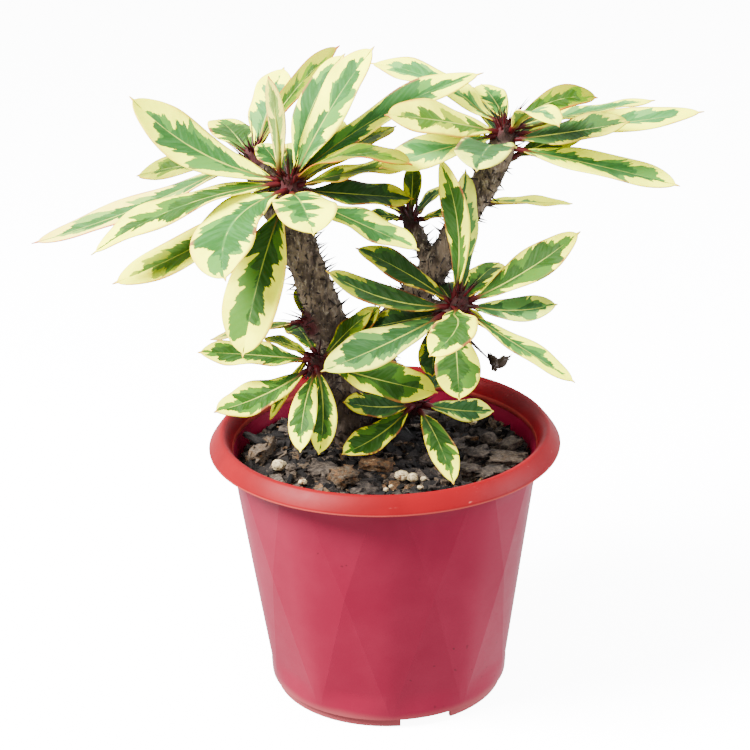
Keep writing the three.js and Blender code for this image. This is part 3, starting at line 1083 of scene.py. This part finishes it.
def blade_shares(tree):
    """u from the midrib to the margin, v along the blade, and which half it is."""
    place = add_node(tree, "ShaderNodeUVMap", {}, uv_map="UVMap").outputs[0]
    split = add_node(tree, "ShaderNodeSeparateXYZ", {"Vector": place})
    offset = compute(tree, "SUBTRACT", split.outputs["X"], 0.5)
    from_midrib = times(tree, compute(tree, "ABSOLUTE", offset), 2.0)
    return from_midrib, split.outputs["Y"], compute(tree, "SIGN", offset)


def side_veins(tree, from_midrib, along):
    """Constant along a side vein, which runs forwards from the midrib."""
    return compute(tree, "SUBTRACT", along, times(tree, from_midrib, 0.16))


def jagged(tree, from_midrib, along, half, shift, scale, detail):
    """Noise that is drawn out along the side veins."""
    vein = side_veins(tree, from_midrib, along)
    seed = attribute(tree, "seed")
    x = plus(tree, times(tree, vein, scale), seed)
    y = plus(tree, times(tree, half, 7.3), shift)
    z = plus(tree, seed, times(tree, from_midrib, scale * 0.05))
    vector = add_node(tree, "ShaderNodeCombineXYZ", {"X": x, "Y": y, "Z": z}).outputs[0]
    return grain(tree, vector, 1.0, detail, 0.6)


def leaf_material(style, under=False):
    deep, second, margin, inner, blush, reach, wide_reach, blush_share = STYLES[style]
    name = f"{style} leaf{' underside' if under else ''}"
    material, tree, shader = new_material(
        name, 0.5, subsurface_weight=0.08, subsurface_scale=0.002, specular_ior_level=0.03)
    from_midrib, along, half = blade_shares(tree)
    lobes = jagged(tree, from_midrib, along, half, 1.7, 4.5, 1.0)
    other_lobes = jagged(tree, from_midrib, along, half, 5.3, 5.5, 1.0)
    teeth = jagged(tree, from_midrib, along, half, 9.1, 30.0, 3.0)
    taper = times(tree, step(tree, along, 0.66, 0.98), 0.75)
    edge = plus(tree, from_midrib, taper)
    edge = compute(tree, "SUBTRACT", edge, attribute(tree, "reach"))
    edge = compute(tree, "MULTIPLY_ADD", teeth, -0.7, plus(tree, edge, 0.35))
    deep_edge = compute(tree, "MULTIPLY_ADD", lobes, -3.0, plus(tree, edge, 1.5))
    second_edge = compute(tree, "MULTIPLY_ADD", other_lobes, -2.8, plus(tree, edge, 1.4))
    place = object_place(tree)
    cloud = grain(tree, place, 70, 3)
    tone = blend(tree, step(tree, cloud, 0.35, 0.65), shade(margin), shade(inner))
    second_zone = step(tree, second_edge, wide_reach + 0.02, wide_reach - 0.02)
    tone = blend(tree, second_zone, tone, shade(second))
    deep_zone = step(tree, deep_edge, reach + 0.02, reach - 0.02)
    mottle = step(tree, teeth, 0.35, 0.7)
    greens = blend(tree, mottle, shade(deep), shade(deep, 1.35, 0.01))
    tone = blend(tree, deep_zone, tone, greens)
    rib = step(tree, from_midrib, 0.06, 0.01)
    rib = times(tree, rib, step(tree, along, 0.97, 0.3))
    pale_green = shade(second, 1.6, 0.02)
    tone = blend(tree, times(tree, rib, 0.45), tone, pale_green)
    flush = times(tree, step(tree, from_midrib, 0.84, 1.0), step(tree, lobes, 0.3, 0.6))
    flush = times(tree, plus(tree, flush, step(tree, along, 0.93, 1.0)), blush_share)
    tone = blend(tree, compute(tree, "MINIMUM", flush, 1.0), tone, shade(blush))
    red_base = step(tree, along, 0.10, 0.02)
    tone = blend(tree, times(tree, red_base, 0.75), tone, shade(0x59241d))
    if under:
        tone = blend(tree, 0.3, tone, shade(0x88943c))
    paint(tree, shader, tone)
    veins = compute(tree, "SINE", times(tree, side_veins(tree, from_midrib, along), 110.0))
    ridge = times(tree, step(tree, from_midrib, 0.0, 0.12), 1.6)
    relief = plus(tree, times(tree, veins, 0.35), ridge)
    relief = plus(tree, relief, grain(tree, place, 500, 2))
    bump(tree, shader, relief, 0.0002, 0.3)
    return material


def petiole_material():
    material, tree, shader = new_material("red petiole", 0.5, specular_ior_level=0.12)
    fade = step(tree, attribute(tree, "fade"), 0.03, 0.42)
    tone = blend(tree, fade, shade(0x3a060a), shade(0x8c9430))
    paint(tree, shader, tone)
    return material


# The leaves of each crown in order: a style, and how much more or less green than it reaches.
LEAVES = {
    "left": (
        ("cream", -0.05), ("bold", -0.1), ("yellow", 0.1), ("cream", 0.15), ("bold", -0.15),
        ("cream", 0.2), ("cream", -0.15), ("lime", 0.0), ("yellow", 0.0), ("dark", 0.0),
        ("cream", 0.1), ("cream", 0.0), ("cream", 0.15), ("cream", 0.05), ("blush", 0.0),
        ("olive", 0.0),
    ),
    "back_left": (("blush", 0.0), ("olive", -0.15), ("pale", 0.0), ("lime", -0.1)),
    "right": (
        ("pale", 0.1), ("yellow", -0.15), ("pale", 0.05), ("cream", -0.1), ("lime", 0.1),
        ("pale", 0.0), ("pale", 0.1), ("pale", 0.1), ("dark", 0.0), ("cream", -0.05),
        ("grey", 0.0),
    ),
    "right_stem": (("pale", -0.4),),
    "middle": (
        ("bold", 0.0), ("grey", -0.1), ("bold", 0.05), ("grey", -0.05), ("cream", -0.1),
        ("bold", 0.0), ("bold", 0.05), ("dark", 0.0), ("dark", -0.05), ("grey", 0.0),
        ("dark", 0.1), ("dark", 0.1),
    ),
    "low_left": (
        ("bold", 0.0), ("bold", -0.1), ("bold", -0.05), ("bold", 0.0), ("bold", 0.0),
        ("olive", 0.0), ("olive", 0.1),
    ),
    "low_right": (("dark", 0.0), ("bold", 0.1), ("bold", 0.1), ("grey", -0.05)),
    "side": (("blush", 0.0),),
}

FACING_FRONT = ("middle_leaf_1",)  # upright leaves that turn their upper face to the front

# Small leaves with no solid of their own, by crown: drop below its top, azimuth, rise, length,
# width, arch, roll, style and extra green.
SMALL_LEAVES = {
    "young": (
        (2, 75, 74, 28, 11, 0.02, 20, "olive", 0.0), (3, 40, 30, 26, 12, 0.04, -10, "grey", 0.0),
        (5, 5, 12, 20, 8, 0.03, 20, "blush", 0.0), (4, 180, 4, 22, 11, 0.04, -20, "grey", 0.0),
        (6, 120, 20, 30, 13, 0.05, 0, "bold", 0.0),
    ),
    "right": (
        (9, 20, -2, 55, 22, 0.03, 10, "olive", -0.2), (12, 60, 4, 60, 24, 0.04, 0, "bold", 0.0),
        (8, 100, 10, 66, 25, 0.04, 10, "grey", 0.0), (14, 128, -8, 62, 24, 0.05, 0, "bold", 0.0),
        (18, 0, 22, 46, 14, 0.03, 70, "olive", 0.2),
    ),
    "left": (
        (6, 62, 24, 60, 24, 0.04, 0, "cream", 0.1), (10, 88, 8, 68, 26, 0.04, 0, "bold", 0.0),
        (15, 70, -12, 60, 24, 0.04, 0, "dark", 0.0),
    ),
    "back_left": (
        (6, 110, 6, 66, 25, 0.04, 0, "bold", 0.0), (10, 80, -8, 58, 24, 0.04, 0, "grey", 0.0),
    ),
    "middle": (
        (9, 20, -46, 30, 14, 0.03, 0, "pale", 0.0), (6, 60, 10, 48, 20, 0.05, 0, "bold", 0.0),
        (9, 100, -4, 46, 20, 0.05, 0, "dark", 0.0),
    ),
    "low_left": (
        (6, 150, 10, 30, 12, 0.05, 0, "olive", -0.2),
        (12, 215, -50, 40, 9, 0.03, 0, "yellow", 0.0), (10, 110, 6, 40, 18, 0.05, 0, "bold", 0.0),
    ),
    "low_right": (
        (3, 60, 12, 36, 16, 0.05, 0, "dark", 0.0), (5, 130, 6, 34, 15, 0.05, 0, "bold", 0.0),
    ),
    "side": (
        (1, 115, 50, 18, 8, 0.05, 0, "lime", 0.0),
    ),
}


class EUPHORBIA_OT_leaves(bpy.types.Operator):
    """Variegated blades with red petioles, and the small leaves between them"""

    bl_idname = "euphorbia.leaves"
    bl_label = "Leaves"

    def execute(self, context):
        leaf = context.scene.euphorbia_leaf
        tops = {style: leaf_material(style) for style in STYLES}
        unders = {style: leaf_material(style, under=True) for style in STYLES}
        stalk_finish = petiole_material()
        spines = cad_spines()
        crowns = find_crowns(spines)
        for name in FACING_FRONT:
            spines[name].up_sign *= -1
        planned = []
        for name in sorted(spines):
            crown, number = name.rsplit("_leaf_", 1)
            planned.append((name, spines[name], *LEAVES[crown][int(number) - 1]))
        small = [(crown, *row) for crown, rows in SMALL_LEAVES.items() for row in rows]
        for number, (crown, *shape, style, reach) in enumerate(small, 1):
            spine = grown_spine(crowns[crown], *shape)
            planned.append((f"{crown}_small_leaf_{number}", spine, style, reach))
        for name, spine, style, reach in planned:
            bm = blade(spine, leaf, random.Random(name), reach)
            skins = [tops[style], unders[style]]
            piece = finished(name + "_blade", bm, skins, outward=False)
            skin = piece.modifiers.new("thickness", "SOLIDIFY")
            skin.thickness = leaf.thickness * MM
            skin.offset = -1
            skin.material_offset = 1
            applied(piece)
            if name in spines:
                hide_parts(name)
            finished(name + "_petiole", stalk(spine), [stalk_finish], smooth=True)
        return {"FINISHED"}


# ------------------------------------------------------------------ stage
CAMERA_RISE = math.radians(21.9)
CAMERA_DISTANCE = 1206.5
CAMERA_TARGET = Vector((-4.7, 0, 188.4))
CAMERA_ROLL = math.radians(-1.19)
LENS = 102.8
# Softboxes: the light's name, its place from the plant's middle in metres, diameter and colour.
SOFTBOXES = (
    ("key", (-1.1, -0.45, 1.15), 0.8, (1, 1, 1)),
    ("side", (1.35, -0.1, 0.55), 0.9, (0.85, 0.9, 1.0)),
    ("fill", (0.5, -1.5, 0.7), 1.2, (1, 1, 1)),
)


def aim(piece, target):
    piece.rotation_euler = (target - piece.location).to_track_quat("-Z", "Y").to_euler()


def softbox(name, place, target, size, power, tint):
    lamp = bpy.data.lights.new(name, "AREA")
    lamp.shape = "DISK"
    lamp.size = size
    lamp.energy = power
    lamp.color = tint
    box = bpy.data.objects.new(name, lamp)
    box.location = place
    bpy.context.scene.collection.objects.link(box)
    aim(box, target)


class EUPHORBIA_OT_stage(bpy.types.Operator):
    """Pale floor, soft lights and the camera"""

    bl_idname = "euphorbia.stage"
    bl_label = "Stage"

    def execute(self, context):
        stage = context.scene.euphorbia_stage
        bm = bmesh.new()
        bmesh.ops.create_grid(bm, x_segments=8, y_segments=8, size=6)
        mesh = bpy.data.meshes.new("floor")
        bm.to_mesh(mesh)
        bm.free()
        floor = bpy.data.objects.new("floor", mesh)
        context.scene.collection.objects.link(floor)
        material, tree, shader = new_material("pale floor", 0.7, specular_ior_level=0.2)
        cloud = grain(tree, object_place(tree), 3, 2)
        white = rgb(stage.floor_colour)
        tone = blend(tree, cloud, white, rgb(stage.floor_colour, 0.99))
        paint(tree, shader, tone)
        shader.inputs["Emission Color"].default_value = (1.0, 1.0, 1.0, 1.0)
        shader.inputs["Emission Strength"].default_value = stage.floor_glow
        mesh.materials.append(material)
        floor.visible_diffuse = False
        floor.visible_glossy = False

        world = bpy.data.worlds.new("white surroundings")
        world.use_nodes = True
        sky = world.node_tree.nodes["Background"]
        sky.inputs["Color"].default_value = (0.96, 0.98, 1.0, 1.0)
        sky.inputs["Strength"].default_value = stage.sky
        context.scene.world = world

        middle = POT_AXIS + Vector((0, 0, 0.19))
        for name, place, size, tint in SOFTBOXES:
            power = getattr(stage, name + "_power")
            softbox(name + "_light", middle + Vector(place), middle, size, power, tint)

        camera = bpy.data.objects.new("camera", bpy.data.cameras.new("camera"))
        camera.data.lens = LENS
        camera.data.sensor_width = 36
        target = POT_AXIS + CAMERA_TARGET * MM
        back = Vector((0, -math.cos(CAMERA_RISE), math.sin(CAMERA_RISE)))
        camera.location = target + back * CAMERA_DISTANCE * MM
        aim(camera, target)
        roll = Matrix.Rotation(CAMERA_ROLL, 3, back)
        camera.rotation_euler = (roll @ camera.rotation_euler.to_matrix()).to_euler()
        context.scene.collection.objects.link(camera)
        context.scene.camera = camera
        return {"FINISHED"}


# ------------------------------------------------------------------ add-on
OPERATORS = (
    EUPHORBIA_OT_pot,
    EUPHORBIA_OT_potting_mix,
    EUPHORBIA_OT_stems,
    EUPHORBIA_OT_leaves,
    EUPHORBIA_OT_stage,
)
SETTINGS = {
    "euphorbia_pot": PotSettings,
    "euphorbia_mix": MixSettings,
    "euphorbia_stem": StemSettings,
    "euphorbia_leaf": LeafSettings,
    "euphorbia_stage": StageSettings,
}


class EUPHORBIA_PT_panel(bpy.types.Panel):
    """Lists the pieces and their settings"""

    bl_idname = "EUPHORBIA_PT_panel"
    bl_label = "Potted euphorbia"
    bl_space_type = "VIEW_3D"
    bl_region_type = "UI"
    bl_category = "Euphorbia"

    def draw(self, context):
        for operator, (group, kind) in zip(OPERATORS, SETTINGS.items()):
            box = self.layout.box()
            box.operator(operator.bl_idname)
            for setting in kind.__annotations__:
                box.prop(getattr(context.scene, group), setting)


def register():
    for kind in (*SETTINGS.values(), *OPERATORS, EUPHORBIA_PT_panel):
        bpy.utils.register_class(kind)
    for name, kind in SETTINGS.items():
        setattr(bpy.types.Scene, name, PointerProperty(type=kind))


def unregister():
    for name in SETTINGS:
        delattr(bpy.types.Scene, name)
    for kind in (EUPHORBIA_PT_panel, *reversed(OPERATORS), *reversed(SETTINGS.values())):
        bpy.utils.unregister_class(kind)


def main():
    register()
    bpy.ops.euphorbia.pot()
    bpy.ops.euphorbia.potting_mix()
    bpy.ops.euphorbia.stems()
    bpy.ops.euphorbia.leaves()
    bpy.ops.euphorbia.stage()


if __name__ == "__main__":
    main()
